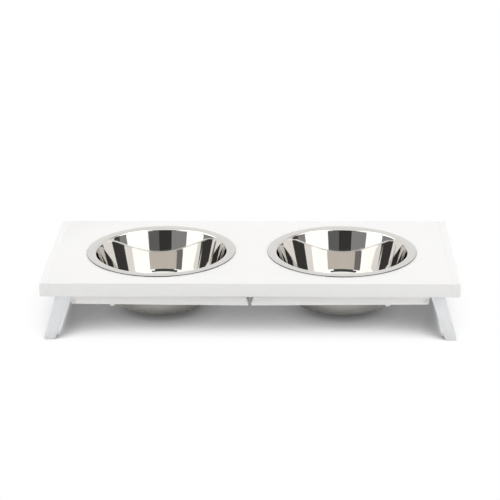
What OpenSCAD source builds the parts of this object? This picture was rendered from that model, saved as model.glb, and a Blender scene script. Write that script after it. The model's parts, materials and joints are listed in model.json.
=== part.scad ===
// Feeder stand for pets: a board with two lift-out bowls on short splayed legs,
// and longer legs that fold flat under the board along its front and rear edges.
// Millimetres. X runs along the board, Y from front to rear, Z up from the floor.

/* [Board] */
// Length of the stand over both end boards
board_w = 560; // [540:1:700]
// Depth of the board from front to rear
board_d = 257; // [250:1:320]
// Thickness of the board
board_t = 19; // [16:0.5:25]
// Thickness of each end board
end_board_t = 10; // [9:0.5:14]
// Height of the board's top face above the floor, on the short legs
stand_h = 83; // [80:1:110]
// Distance between the centres of the two bowls
bowl_spacing = 252; // [240:1:258]
// Gap between a bowl and the edge of its cut-out
cutout_gap = 2; // [1:0.1:4]

/* [Bowls] */
// Outer diameter of a bowl's rim
rim_d = 207.6; // [204:0.2:214]
// Clear height between the board and the underside of the rim at its crest
rim_rise = 0.5; // [0.5:0.1:1.5]
// Fall of the rim from its crest to its outer edge
rim_fall = 0.4; // [0.2:0.1:0.5]
// Distance from the rim's outer edge to its crest, seen from above
rim_run = 9.4; // [8:0.1:11]
// Width of the rim's rolled outer edge
rim_edge_w = 1.4; // [1:0.1:2]
// Lean of the rolled edge's outer face from the vertical, in degrees
rim_edge_lean = 20; // [0:1:30]
// Radius of the bend from the rim into the wall
lip_r = 4; // [3.5:0.1:8]
// Slope of the bowl's wall from the vertical, in degrees
wall_slope = 15; // [12:0.1:22]
// Radius of the bend from the wall into the base
base_r = 26.5; // [18:0.5:32]
// Depth of a bowl from the board's top face to its base
bowl_depth = 73.6; // [64:0.1:77]
// Thickness of the bowl's steel sheet
sheet_t = 0.9; // [0.6:0.1:1.4]

/* [Short legs] */
// Width of a short leg under the board, seen from the front
leg_top_w = 18.5; // [15:0.1:22]
// Width of a short leg at its sole, seen from the front
leg_foot_w = 15.8; // [12:0.1:20]
// Depth of a short leg from front to rear
leg_d = 18; // [15:0.5:22]
// Distance of a short leg's front face behind the board's front face
leg_recess = 5; // [2:0.5:10]
// Distance of a leg's outer top corner from the board's end
leg_top_inset = 20.3; // [18:0.1:26]
// Distance of a leg's outer sole corner from the board's end
leg_foot_inset = 2; // [0:0.1:6]
// Thickness of the pad under a short leg
foot_pad_t = 2; // [1:0.1:4]
// Margin of the sole around its pad
foot_pad_margin = 0.6; // [0.2:0.1:2]
// Thickness of a leg's mounting plate
plate_t = 3; // [2:0.1:5]
// Depth of a mounting plate from front to rear
plate_d = 38; // [34:0.5:48]
// Reach of a mounting plate beyond the leg's outer top corner
plate_reach = 7.5; // [6:0.1:9]
// Thickness of the rib behind a short leg
rib_t = 4; // [3:0.1:5]
// Height of the rib below the mounting plate
rib_h = 25; // [15:0.5:32]
// Depth of the rib behind the leg
rib_d = 24; // [16:0.5:28]

/* [Long legs] */
// Thickness of a long leg, upright when the leg is folded
long_leg_t = 12; // [10:0.1:13]
// Depth of a long leg from front to rear
long_leg_d = 18; // [15:0.5:19]
// Distance of a folded leg's front face behind the board's front face
long_leg_recess = 8; // [6:0.5:9]
// Gap between the board and a folded leg
long_leg_gap = 1.5; // [1:0.1:3]
// Splay of an unfolded long leg from the vertical, in degrees
splay = 17.2; // [15:0.1:18]
// Droop of a folded long leg towards the middle, in degrees
droop = 0.45; // [0:0.05:0.6]
// Gap between the feet of the two folded legs, along their lower edges
foot_gap = 4.2; // [2.4:0.1:6]
// Length of a long leg beyond its pivot
end_margin = 3.7; // [3.2:0.1:4.2]
// Radius of the rounded corners at the pivot end
end_round = 3; // [2.8:0.1:4]
// Thickness of the pad on a long leg's foot
long_pad_t = 0.8; // [0.5:0.1:1]
// Margin of the foot around its pad
long_pad_margin = 1; // [0.5:0.1:2]
// Width of the rail that joins a side's two long legs
rail_w = 18; // [14:0.5:20]
// Distance of the rail from the upper edge of the slanted foot
rail_inset = 3; // [2:0.1:5]
// Distance of a stop bumper from the pivot, along the leg
stop_reach = 51.5; // [46:0.5:54]
// Distance of a stop bumper's middle behind the leg's front face
stop_setback = 5; // [4.5:0.1:9]
// Diameter of a stop bumper
stop_d = 8.5; // [6:0.1:9]
// Clearance between an unfolded leg's stop bumper and the short leg
stop_gap = 0.35; // [0.3:0.05:0.6]

/* [Pivots] */
// Distance of the pivot from the short leg's inner top corner
pivot_inset = 5.2; // [5:0.1:6.5]
// Height of the pivot above the folded leg's lower face
pivot_rise = 4.8; // [4.5:0.1:6]
// Diameter of the pivot bolt's shank
bolt_d = 4; // [3:0.1:5]
// Diameter of the pivot bolt's head
bolt_head_d = 7.5; // [6.5:0.1:8]
// Height of the pivot bolt's head
bolt_head_h = 2.4; // [2:0.1:4]
// Width across the flats of the socket in the bolt's head
bolt_socket = 2.5; // [2:0.1:3]
// Depth of the socket in the bolt's head
bolt_socket_depth = 1.6; // [1:0.1:1.8]
// Length of the bolt beyond its nut
bolt_end = 0.8; // [0.2:0.1:2]
// Diameter of the pivot washer
washer_d = 9; // [8:0.1:10]
// Thickness of the pivot washer
washer_t = 0.8; // [0.5:0.1:1.2]
// Width across the flats of the lock nut
nut_w = 7; // [6.5:0.1:8]
// Height of the lock nut
nut_h = 4; // [3:0.1:5]
// Radius of the hinge ear around the pivot
ear_r = 7; // [6:0.1:7.2]
// Thickness of the hinge ear
ear_t = 3; // [2:0.1:4]

/* [Fasteners] */
// Diameter of a leg screw
screw_d = 4; // [3:0.1:5]
// Length of a leg screw under its head
screw_len = 16; // [12:0.5:17]
// Diameter of a leg screw's head
screw_head_d = 8; // [6:0.1:9]
// Height of a leg screw's head
screw_head_h = 2.4; // [1.6:0.1:3]
// Length of a screw head's cross recess
cross_len = 4.4; // [3:0.1:5]
// Width of a screw head's cross recess
cross_w = 1; // [0.6:0.1:1.4]
// Depth of a screw head's cross recess
cross_depth = 1.2; // [0.6:0.1:1.4]
// Distance of a screw from the edges of its mounting plate
screw_margin = 7; // [6:0.1:9]
// Number of dowels in an end board
end_dowel_count = 4; // [2:1:5]
// Distance of the outermost dowel from the board's front and rear faces
end_dowel_margin = 25; // [20:1:28]
// Diameter of an end board's dowel
end_dowel_d = 6; // [5:0.1:8]
// Length of an end board's dowel in the end board
end_dowel_out = 7; // [5:0.1:8]
// Length of an end board's dowel in the top board
end_dowel_in = 16; // [12:0.5:20]
// Diameter of a rail's dowel
rail_dowel_d = 5; // [4:0.1:6]
// Length of a rail's dowel in the long leg
rail_dowel_leg = 10; // [8:0.5:13]
// Length of a rail's dowel in the rail
rail_dowel_rail = 12; // [8:0.5:20]

/* [Clearances] */
// Radial clearance of a bolt, screw or dowel in its hole
hole_fit = 0.05; // [0.02:0.01:0.1]
// Radial clearance of the bolt's head in its recess
head_fit = 0.25; // [0.2:0.05:0.4]
// Clearance along the bolt between faces that turn on each other
face_fit = 0.1; // [0.05:0.01:0.2]
// Depth of a hole beyond the end of what it holds
hole_spare = 1; // [0.5:0.1:1.5]

/* [Hidden] */
SIDES = ["left", "right"];
ENDS = ["front", "rear"];
SIDE_PIECES = ["end_board", "end_board_dowels", "bowl", "long_leg_rail", "rail_dowels"];
CORNER_PIECES = [
    "short_leg", "foot_pad", "leg_screws", "long_leg", "long_leg_pad",
    "stop_bumper", "pivot_bolt", "pivot_washer", "pivot_nut"
];

$fn = 48;
bowl_fn = 128;
arc_steps = 8;
cut = 1;

half_w = board_w / 2;
half_d = board_d / 2;
board_low = stand_h - board_t;
board_mid = stand_h - board_t / 2;
joint_x = half_w - end_board_t;
bowl_x = bowl_spacing / 2;

// The short leg at the front right corner
leg_top_out = half_w - leg_top_inset;
leg_top_in = leg_top_out - leg_top_w;
leg_foot_out = half_w - leg_foot_inset;
leg_foot_in = leg_foot_out - leg_foot_w;
leg_front = leg_recess - half_d;
leg_back = leg_front + leg_d;
leg_lean = atan((leg_foot_in - leg_top_in) / (board_low - foot_pad_t));

// The pivot and the folded long leg at the front right corner
pivot_x = leg_top_in - pivot_inset;
pivot_drop = long_leg_gap + long_leg_t - pivot_rise;
pivot_z = board_low - pivot_drop;
long_low = pivot_z - pivot_rise;
long_high = long_low + long_leg_t;
long_mid_z = long_low + long_leg_t / 2;
long_front = long_leg_recess - half_d;
long_back = long_front + long_leg_d;
long_end = pivot_x + end_margin;
foot_low_x = foot_gap / 2;
foot_high_x = foot_low_x + long_leg_t * tan(splay);
rail_x = foot_high_x + rail_inset;

// The stop bumper fills the space that the unfolded leg leaves before the short leg
lean_past_splay = leg_lean - splay;
pivot_to_leg = (pivot_inset + pivot_drop * tan(leg_lean)) * cos(leg_lean);
stop_space = (pivot_to_leg + stop_reach * sin(lean_past_splay)) / cos(lean_past_splay);
stop_h = stop_space - pivot_rise - stop_gap;

// The pivot's stack behind the long leg: washer, hinge ear and lock nut
washer_front = long_back + face_fit;
ear_front = washer_front + washer_t + face_fit;
ear_back = ear_front + ear_t;
nut_back = ear_back + nut_h;

// The short leg's mounting plate and its screws
plate_low = board_low - plate_t;
plate_in = pivot_x - ear_r;
plate_out = leg_top_out + plate_reach;
plate_back = ear_front + plate_d;
rib_x = leg_top_in + (plate_t + rib_h) * tan(leg_lean);
neck_in = leg_top_in + plate_t * tan(leg_lean);
screw_spots = [
    [plate_in + screw_margin, plate_back - screw_margin],
    [plate_out - screw_margin, plate_back - screw_margin],
    [plate_out - screw_margin, ear_front + screw_margin]
];
end_dowel_step = (board_d - 2 * end_dowel_margin) / (end_dowel_count - 1);

// The bowl's profile: radius outwards, height above the board's top face
crest_x = rim_d / 2 - rim_run;
rim_crown = sheet_t + rim_rise;
rim_edge_h = rim_crown - rim_fall;
rim_turn = 2 * atan((rim_crown - rim_edge_h) / rim_run);
rim_arc_r = rim_run / sin(rim_turn);
rim_edge_turn = asin((rim_run - rim_edge_h * tan(rim_edge_lean)) / rim_arc_r);
under_arc_r = rim_arc_r - sheet_t;
under_turn = asin((rim_run - rim_edge_w) / under_arc_r);
rim_arc_z = rim_crown - rim_arc_r;
lip_z = rim_crown - lip_r;
wall_turn = 90 - wall_slope;
floor_z = sheet_t - bowl_depth;
base_z = floor_z + base_r;
lip_wall_x = crest_x - lip_r * sin(wall_turn);
lip_wall_z = lip_z + lip_r * cos(wall_turn);
base_wall_z = base_z - base_r * cos(wall_turn);
base_wall_x = lip_wall_x - (lip_wall_z - base_wall_z) * tan(wall_slope);
base_x = base_wall_x - base_r * sin(wall_turn);
bowl_at_board = crest_x - sqrt(pow(lip_r - sheet_t, 2) - pow(lip_z, 2));
cutout_r = bowl_at_board + cutout_gap;

colour_white = "white";
colour_steel = "silver";
colour_cast = "gainsboro";
colour_zinc = "lightgrey";
colour_rubber = "darkgrey";
colour_beech = "burlywood";

// Points on a circle between two angles, measured from the first axis
function arc(x, y, r, from, to) = [
    for (i = [0:arc_steps]) let (a = from + (to - from) * i / arc_steps) [x + r * cos(a), y + r * sin(a)]
];

// The bowl's profile line: the inside face at depth 0, the outside face at depth sheet_t
function bowl_line(depth, edge_turn) = concat(
    arc(crest_x, rim_arc_z, rim_arc_r - depth, 90 - edge_turn, 90),
    arc(crest_x, lip_z, lip_r - depth, 90, 90 + wall_turn),
    arc(base_x, base_z, base_r + depth, wall_turn - 90, -90),
    [[0, floor_z - depth]]
);

function reversed(points) = [for (i = [len(points) - 1:-1:0]) points[i]];

// Puts a right-hand piece on its side of the stand
module on_side(side) {
    if (side == "left") mirror([1, 0, 0]) children();
    else children();
}

// Puts a front right piece at its corner of the stand
module at_corner(end, side) {
    on_side(side)
        if (end == "rear") mirror([0, 1, 0]) children();
        else children();
}

// Extrudes an outline drawn in X and Z from one Y to another
module slab(from, to) {
    translate([0, to, 0])
        rotate([90, 0, 0])
            linear_extrude(to - from) children();
}

// A round bar along Y
module bar_y(x, z, r, from, to) {
    translate([x, to, z])
        rotate([90, 0, 0])
            cylinder(h = to - from, r = r);
}

// A round bar along X
module bar_x(y, z, r, from, to) {
    translate([from, y, z])
        rotate([0, 90, 0])
            cylinder(h = to - from, r = r);
}

// Turns a long leg's piece about the pivot, from level to its drooping place
module drooped() {
    translate([pivot_x, 0, pivot_z])
        rotate([0, -droop, 0])
            translate([-pivot_x, 0, -pivot_z]) children();
}

module end_dowel_bars(grow, spare) {
    for (i = [0:end_dowel_count - 1])
        bar_x(
            end_dowel_margin - half_d + i * end_dowel_step, board_mid, end_dowel_d / 2 + grow,
            joint_x - end_dowel_in - spare, joint_x + end_dowel_out + spare
        );
}

module rail_dowel_bars(grow, spare) {
    for (end = ENDS, share = [0.25, 0.75])
        at_corner(end, "right")
            bar_y(
                rail_x + rail_w * share, long_mid_z, rail_dowel_d / 2 + grow,
                long_back - rail_dowel_leg - spare, long_back + rail_dowel_rail + spare
            );
}

module screw_shanks(grow, spare) {
    for (spot = screw_spots)
        translate([spot.x, spot.y, plate_low])
            cylinder(h = screw_len + spare, r = screw_d / 2 + grow);
}

module top_board() {
    color(colour_white)
        difference() {
            translate([-joint_x, -half_d, board_low])
                cube([2 * joint_x, board_d, board_t]);
            for (side = SIDES) on_side(side) {
                translate([bowl_x, 0, board_low - cut])
                    cylinder(h = board_t + 2 * cut, r = cutout_r, $fn = bowl_fn);
                end_dowel_bars(hole_fit, hole_spare);
                for (end = ENDS) at_corner(end, "right") screw_shanks(hole_fit, hole_spare);
            }
        }
}

module end_board() {
    color(colour_white)
        difference() {
            translate([joint_x, -half_d, board_low])
                cube([end_board_t, board_d, board_t]);
            end_dowel_bars(hole_fit, hole_spare);
        }
}

module end_board_dowels() {
    color(colour_beech) end_dowel_bars(0, 0);
}

module bowl() {
    rim_r = rim_d / 2;
    profile = concat(
        [[rim_r, 0]],
        bowl_line(0, rim_edge_turn),
        reversed(bowl_line(sheet_t, under_turn)),
        [[rim_r - rim_edge_w, 0]]
    );
    color(colour_steel)
        translate([bowl_x, 0, stand_h])
            rotate_extrude($fn = bowl_fn) polygon(profile);
}

module short_leg() {
    color(colour_cast)
        difference() {
            union() {
                slab(leg_front, leg_back)
                    polygon([
                        [leg_top_in, board_low], [leg_top_out, board_low],
                        [leg_foot_out, foot_pad_t], [leg_foot_in, foot_pad_t]
                    ]);
                translate([neck_in, leg_back - cut, plate_low])
                    cube([leg_top_out - neck_in, plate_d / 2, plate_t]);
                translate([plate_in, ear_front, plate_low])
                    cube([plate_out - plate_in, plate_d, plate_t]);
                translate([rib_x + rib_t, leg_back, plate_low])
                    rotate([0, -90, 0])
                        linear_extrude(rib_t) polygon([[0, 0], [-rib_h, 0], [0, rib_d]]);
                bar_y(pivot_x, pivot_z, ear_r, ear_front, ear_back);
                translate([plate_in, ear_front, pivot_z])
                    cube([2 * ear_r, ear_t, board_low - pivot_z]);
            }
            bar_y(pivot_x, pivot_z, bolt_d / 2 + hole_fit, ear_front - cut, ear_back + cut);
            screw_shanks(hole_fit, 0);
        }
}

module foot_pad() {
    color(colour_rubber)
        translate([leg_foot_in + foot_pad_margin, leg_front + foot_pad_margin, 0])
            cube([leg_foot_w - 2 * foot_pad_margin, leg_d - 2 * foot_pad_margin, foot_pad_t]);
}

module leg_screws() {
    color(colour_zinc) {
        screw_shanks(0, 0);
        for (spot = screw_spots)
            translate([spot.x, spot.y, plate_low - screw_head_h])
                difference() {
                    cylinder(h = screw_head_h, d = screw_head_d);
                    for (turn = [0, 90])
                        rotate(turn)
                            translate([-cross_len / 2, -cross_w / 2, -cut])
                                cube([cross_len, cross_w, cross_depth + cut]);
                }
    }
}

module long_leg() {
    recess_end = long_front + bolt_head_h + 2 * face_fit;
    color(colour_white)
        drooped()
            difference() {
                slab(long_front, long_back)
                    polygon(concat(
                        [[foot_low_x, long_low]],
                        arc(long_end - end_round, long_low + end_round, end_round, -90, 0),
                        arc(long_end - end_round, long_high - end_round, end_round, 0, 90),
                        [[foot_high_x, long_high]]
                    ));
                bar_y(pivot_x, pivot_z, bolt_d / 2 + hole_fit, long_front - cut, long_back + cut);
                bar_y(pivot_x, pivot_z, bolt_head_d / 2 + head_fit, long_front - cut, recess_end);
                rail_dowel_bars(hole_fit, hole_spare);
            }
}

module long_leg_pad() {
    along = [sin(splay), cos(splay)];
    outwards = [-cos(splay), sin(splay)];
    low = [foot_low_x, long_low] + along * long_pad_margin;
    high = [foot_high_x, long_high] - along * long_pad_margin;
    color(colour_rubber)
        drooped()
            slab(long_front + long_pad_margin, long_back - long_pad_margin)
                polygon([low, high, high + outwards * long_pad_t, low + outwards * long_pad_t]);
}

module long_leg_rail() {
    color(colour_white)
        drooped()
            difference() {
                translate([rail_x, long_back, long_low])
                    cube([rail_w, -2 * long_back, long_leg_t]);
                rail_dowel_bars(hole_fit, hole_spare);
            }
}

module rail_dowels() {
    color(colour_beech) drooped() rail_dowel_bars(0, 0);
}

module stop_bumper() {
    dome = arc(0, 0, 1, 0, 90);
    color(colour_white)
        drooped()
            translate([pivot_x - stop_reach, long_front + stop_setback, long_low])
                mirror([0, 0, 1])
                    rotate_extrude()
                        polygon(concat([[0, 0]], [for (p = dome) [p.x * stop_d / 2, p.y * stop_h]]));
}

module pivot_bolt() {
    head_front = long_front + face_fit;
    head_back = head_front + bolt_head_h;
    color(colour_zinc)
        difference() {
            union() {
                bar_y(pivot_x, pivot_z, bolt_head_d / 2, head_front, head_back);
                bar_y(pivot_x, pivot_z, bolt_d / 2, head_back, nut_back + bolt_end);
            }
            translate([pivot_x, head_front + bolt_socket_depth, pivot_z])
                rotate([90, 0, 0])
                    cylinder(h = bolt_socket_depth + cut, d = bolt_socket / cos(30), $fn = 6);
        }
}

module pivot_washer() {
    color(colour_zinc)
        difference() {
            bar_y(pivot_x, pivot_z, washer_d / 2, washer_front, washer_front + washer_t);
            bar_y(pivot_x, pivot_z, bolt_d / 2 + hole_fit, washer_front - cut, ear_front + cut);
        }
}

module pivot_nut() {
    color(colour_zinc)
        difference() {
            translate([pivot_x, nut_back, pivot_z])
                rotate([90, 0, 0])
                    cylinder(h = nut_h, d = nut_w / cos(30), $fn = 6);
            bar_y(pivot_x, pivot_z, bolt_d / 2 + hole_fit, ear_back - cut, nut_back + cut);
        }
}

top_board();

for (side = SIDES) {
    on_side(side) end_board();
    on_side(side) end_board_dowels();
    on_side(side) bowl();
    on_side(side) long_leg_rail();
    on_side(side) rail_dowels();
}

for (end = ENDS, side = SIDES) {
    corner = str(end, "_", side, "_");
    at_corner(end, side) short_leg();
    at_corner(end, side) foot_pad();
    at_corner(end, side) leg_screws();
    at_corner(end, side) long_leg();
    at_corner(end, side) long_leg_pad();
    at_corner(end, side) stop_bumper();
    at_corner(end, side) pivot_bolt();
    at_corner(end, side) pivot_washer();
    at_corner(end, side) pivot_nut();
}
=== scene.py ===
"""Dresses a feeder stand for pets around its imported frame: boards, bowls, legs and fasteners.

Lengths are in metres, in the frame's axes: X along the board, Y to the rear, Z up from the floor.
Pieces that come four times are made for the front right corner and then mirrored to the others.
"""

import json
import math

import bmesh
import bpy
from bpy.props import FloatProperty, FloatVectorProperty, IntProperty, PointerProperty
from mathutils import Matrix, Vector

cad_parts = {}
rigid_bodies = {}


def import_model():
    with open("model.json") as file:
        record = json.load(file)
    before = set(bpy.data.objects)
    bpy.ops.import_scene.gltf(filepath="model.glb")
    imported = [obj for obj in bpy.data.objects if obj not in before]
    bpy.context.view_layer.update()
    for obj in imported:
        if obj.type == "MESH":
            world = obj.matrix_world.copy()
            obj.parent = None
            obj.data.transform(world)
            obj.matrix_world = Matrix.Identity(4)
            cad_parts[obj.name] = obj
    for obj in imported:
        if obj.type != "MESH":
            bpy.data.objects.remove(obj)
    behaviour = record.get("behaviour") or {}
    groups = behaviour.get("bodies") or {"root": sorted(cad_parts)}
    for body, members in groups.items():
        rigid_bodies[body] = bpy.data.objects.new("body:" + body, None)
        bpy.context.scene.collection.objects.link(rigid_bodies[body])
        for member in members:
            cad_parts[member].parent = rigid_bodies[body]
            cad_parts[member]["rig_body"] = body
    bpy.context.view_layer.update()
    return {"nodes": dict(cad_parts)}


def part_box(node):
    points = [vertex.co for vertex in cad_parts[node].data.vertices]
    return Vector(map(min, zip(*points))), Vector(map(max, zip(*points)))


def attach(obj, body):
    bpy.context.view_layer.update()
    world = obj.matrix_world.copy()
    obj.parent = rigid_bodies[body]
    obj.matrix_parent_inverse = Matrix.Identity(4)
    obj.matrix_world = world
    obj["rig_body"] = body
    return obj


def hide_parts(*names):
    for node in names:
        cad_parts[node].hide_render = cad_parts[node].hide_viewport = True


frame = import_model()

bl_info = {
    "name": "Feeder Stand",
    "version": (1, 0, 0),
    "blender": (4, 5, 0),
    "location": "View3D > Sidebar > Feeder",
    "description": "Builds a feeder stand with two lift-out bowls and fold-out legs around its frame",
    "category": "Mesh",
}

MM = 0.001
WHITE = (1, 1, 1)
FILM_WIDTH = 36

# Points closer than this are one point
WELD = 1e-7
# How far a cutter or a joined part reaches past a face
OVERLAP = 1 * MM
# An edge whose direction has this share along an axis runs along it
ALONG = 0.999
# A face whose normal has less than this share of Z stands upright
UPRIGHT = 0.5
# Faces that meet at more than these angles have an edge to round, or a crease in their shading
EDGE_ANGLE = math.radians(30)
CREASE_ANGLE = math.radians(35)

# The vertex mark of the rim's rolled edge, from 0 to 1, and where on it the steel turns dark with painted
# shade: a contact shadow under the rim, painted into the steel's colour
HEM_SHADE_MARK = "hem"
HEM_SHADE_START = 0.9

# How the front right corner is mirrored to the others
SIDES = {"left": -1, "right": 1}
ENDS = {"front": 1, "rear": -1}
REARWARDS = Vector((1, -1, 1))

# How light the floor looks, by how open it is to the light and by how near a surface is
SHADOW_TONES = ((0.1, 0.27), (0.19, 0.28), (0.33, 0.5), (0.46, 0.76), (0.6, 0.95), (0.72, 1))
CONTACT_TONES = ((0.05, 0.3), (0.3, 0.75), (0.7, 1))
FLOOR_SAMPLES = 32

# The cards round the stand: name, setting of the strength, turns to the right of the front and rises.
# Turns and rises are in degrees.
CARDS = (
    ("right_wall", "dim_room", (6, 26), (0, 17)),
    ("middle_wall", "dark_room", (-17, 6), (0, 17)),
    ("left_wall", "grey_room", (-45, -17), (0, 17)),
    ("high_wall", "high_wall", (-45, 26), (17, 42)),
    ("ceiling", "ceiling", (-45, 26), (42, 70)),
    ("right_softbox", "front_box", (26, 69), (2, 66)),
    ("left_softbox", "front_box", (-78, -45), (2, 66)),
    ("right_corner", "grey_room", (69, 95), (0, 32)),
    ("left_corner", "grey_room", (-105, -78), (0, 32)),
)
# Cards that only the steel mirrors
REFLECTORS = (
    ("right_reflector", "side_box", (66, 125), (32, 60)),
    ("left_reflector", "side_box", (-125, -78), (32, 60)),
    ("back_reflector", "back_box", (125, 235), (32, 60)),
)
# Strips before the cards, which only the steel mirrors, and which let the cards' light pass
STRIPS = (
    ("right_strip", "side_box", (40, 66), (32, 60)),
    ("left_strip", "side_box", (-78, -62), (32, 60)),
    ("low_left_strip", "front_box", (-45, -25), (17, 24)),
    ("mid_left_strip", "front_box", (-45, -33), (24, 42)),
    ("low_right_strip", "front_box", (18, 26), (17, 28)),
    ("dark_strip", "grey_room", (100, 125), (32, 60)),
    ("corner_strip", "high_wall", (84, 97), (0, 32)),
    ("high_strip", "ceiling", (-33, 26), (36, 42)),
)
TINTS = {"back_reflector": "back_tint"}
CARD_STEPS = 24

# Where the frame's right-hand and front right solids lie
BOARD_LOW, BOARD_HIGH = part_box("top_board")
END_LOW, END_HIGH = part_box("right_end_board")
BOWL_LOW, BOWL_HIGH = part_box("right_bowl")
CAST_LOW, CAST_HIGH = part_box("front_right_short_leg")
FOOT_LOW, FOOT_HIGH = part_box("front_right_foot_pad")
FOLD_LOW, FOLD_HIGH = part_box("front_right_long_leg")
RAIL_LOW, RAIL_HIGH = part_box("right_long_leg_rail")
BUMP_LOW, BUMP_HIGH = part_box("front_right_stop_bumper")
BOLT_LOW, BOLT_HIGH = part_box("front_right_pivot_bolt")
WASHER_LOW, WASHER_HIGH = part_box("front_right_pivot_washer")
NUT_LOW, NUT_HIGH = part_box("front_right_pivot_nut")
SCREW_LOW, SCREW_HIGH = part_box("front_right_leg_screws")
PIVOT = (BOLT_LOW + BOLT_HIGH) / 2
BOWL_CENTRE = Vector(((BOWL_LOW.x + BOWL_HIGH.x) / 2, 0, BOARD_HIGH.z))


def length(name, description, default):
    """A length that the sidebar shows in the scene's unit."""
    return FloatProperty(
        name=name, description=description, default=default, min=0, precision=5,
        subtype="DISTANCE", unit="LENGTH",
    )


def angle(name, description, degrees):
    """An angle, given in degrees."""
    return FloatProperty(
        name=name, description=description, default=math.radians(degrees),
        subtype="ANGLE", unit="ROTATION",
    )


def colour(name, description, default):
    """A surface colour, linear."""
    return FloatVectorProperty(
        name=name, description=description, default=default, size=3, min=0, max=1, subtype="COLOR",
    )


def level(name, description, default):
    """A plain number, such as a share or a strength of light."""
    return FloatProperty(name=name, description=description, default=default, min=0)


class BoardSettings(bpy.types.PropertyGroup):
    """Sizes of the top board and the end boards."""

    edge_round: length("Edge rounding", "Radius along the outer edges", 0.9 * MM)
    joint_round: length("Joint rounding", "Radius along the joints with the end boards", 0.18 * MM)
    cutout_radius: length("Cut-out radius", "Radius of the round cut-outs", 94.71 * MM)
    cutout_round: length("Cut-out rounding", "Radius along the cut-outs' edges", 0.6 * MM)
    cutout_steps: IntProperty(name="Cut-out steps", description="Sides of a cut-out", default=160)


class BowlSettings(bpy.types.PropertyGroup):
    """Sizes of the pressed steel bowls."""

    rim_run: length("Rim run", "Distance from the rim's outer edge to its crest", 9.4 * MM)
    hem_height: length("Hem height", "Height of the rim's rolled outer edge", 1.0 * MM)
    hem_width: length("Hem width", "Width of the rim's rolled outer edge", 1.4 * MM)
    hem_lean: angle("Hem lean", "Lean of the rolled edge's outer face from the upright", 20)
    lip_radius: length("Lip radius", "Radius of the bend from the rim into the wall", 4 * MM)
    wall_slope: angle("Wall slope", "Slope of the wall from the vertical", 15)
    base_radius: length("Base radius", "Radius of the bend from the wall into the base", 26.5 * MM)
    sheet: length("Sheet", "Thickness of the steel", 0.9 * MM)
    turn_steps: IntProperty(name="Turn steps", description="Sides of a bowl", default=192)


class ShortLegSettings(bpy.types.PropertyGroup):
    """Sizes of the cast short legs."""

    top_inner: length("Top inner edge", "Inner edge under the board, from the middle", 241.2 * MM)
    top_outer: length("Top outer edge", "Outer edge under the board, from the middle", 259.7 * MM)
    foot_inner: length("Foot inner edge", "Inner edge of the sole, from the middle", 262.2 * MM)
    depth: length("Depth", "Depth from front to rear", 18 * MM)
    edge_round: length("Edge rounding", "Radius along the edges", 0.7 * MM)
    plate_thickness: length("Plate thickness", "Thickness of the mounting plate", 3 * MM)
    plate_outer: length("Plate outer edge", "Outer edge of the plate, from the middle", 267.2 * MM)
    plate_corner: length("Plate corner", "Radius of the plate's corners", 4 * MM)
    ear_radius: length("Ear radius", "Half the width of the hinge ear", 7 * MM)
    ear_round: length("Ear rounding", "Radius of the ear's corners, just under half its width", 6.993 * MM)
    ear_gap: length("Ear gap", "Gap between the washer and the hinge ear", 0.1 * MM)
    ear_thickness: length("Ear thickness", "Thickness of the hinge ear", 3 * MM)
    rib_thickness: length("Rib thickness", "Thickness of the rib behind the leg", 4 * MM)
    rib_height: length("Rib height", "Height of the rib below the plate", 25 * MM)
    rib_depth: length("Rib depth", "Depth of the rib behind the leg", 24 * MM)
    pad_corner: length("Pad corner", "Radius of the foot pad's upright edges", 0.8 * MM)
    pad_edge: length("Pad edge", "Radius around the foot pad's sole", 0.15 * MM)
    pad_rim: length("Pad rim", "Width of the rim around the hollow of the sole", 2.2 * MM)
    pad_hollow: length("Pad hollow", "Depth of the hollow in the sole", 0.5 * MM)


class LongLegSettings(bpy.types.PropertyGroup):
    """Sizes of the fold-out long legs and their rails."""

    thickness: length("Thickness", "Thickness, upright when folded", 12 * MM)
    pivot_rise: length("Pivot rise", "Height of the pivot above the lower face", 4.8 * MM)
    splay: angle("Splay", "Slant of the foot's cut", 17.2)
    droop: angle("Droop", "Droop of the folded leg towards the middle", 0.45)
    foot_start: length("Foot start", "Lower corner of the foot, from the middle", 2.1 * MM)
    end_margin: length("End margin", "Length beyond the pivot", 3.7 * MM)
    end_round: length("End rounding", "Radius of the corners at the pivot", 3 * MM)
    edge_round: length("Edge rounding", "Radius along the edges", 0.7 * MM)
    recess_radius: length("Recess radius", "Radius of the bolt head's recess", 4 * MM)
    recess_depth: length("Recess depth", "Depth of the bolt head's recess", 2.6 * MM)
    recess_lead: length("Recess lead", "Chamfer around the recess", 0.3 * MM)
    bore_radius: length("Bore radius", "Radius of the bolt's bore", 2.1 * MM)
    rail_width: length("Rail width", "Width of the rail between two legs", 18 * MM)
    rail_inset: length("Rail inset", "Distance of the rail from the foot's upper edge", 3 * MM)
    stop_reach: length("Stop reach", "Distance of the stop bumper from the pivot", 51.5 * MM)
    stop_rise: length("Stop height", "Height of the stop bumper", 3.93 * MM)
    pad_thickness: length("Pad thickness", "Thickness of the pad on the foot", 0.8 * MM)
    pad_margin: length("Pad margin", "Margin of the foot around its pad", 1 * MM)
    pad_edge: length("Pad edge", "Radius along the pad's edges", 0.25 * MM)


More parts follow.
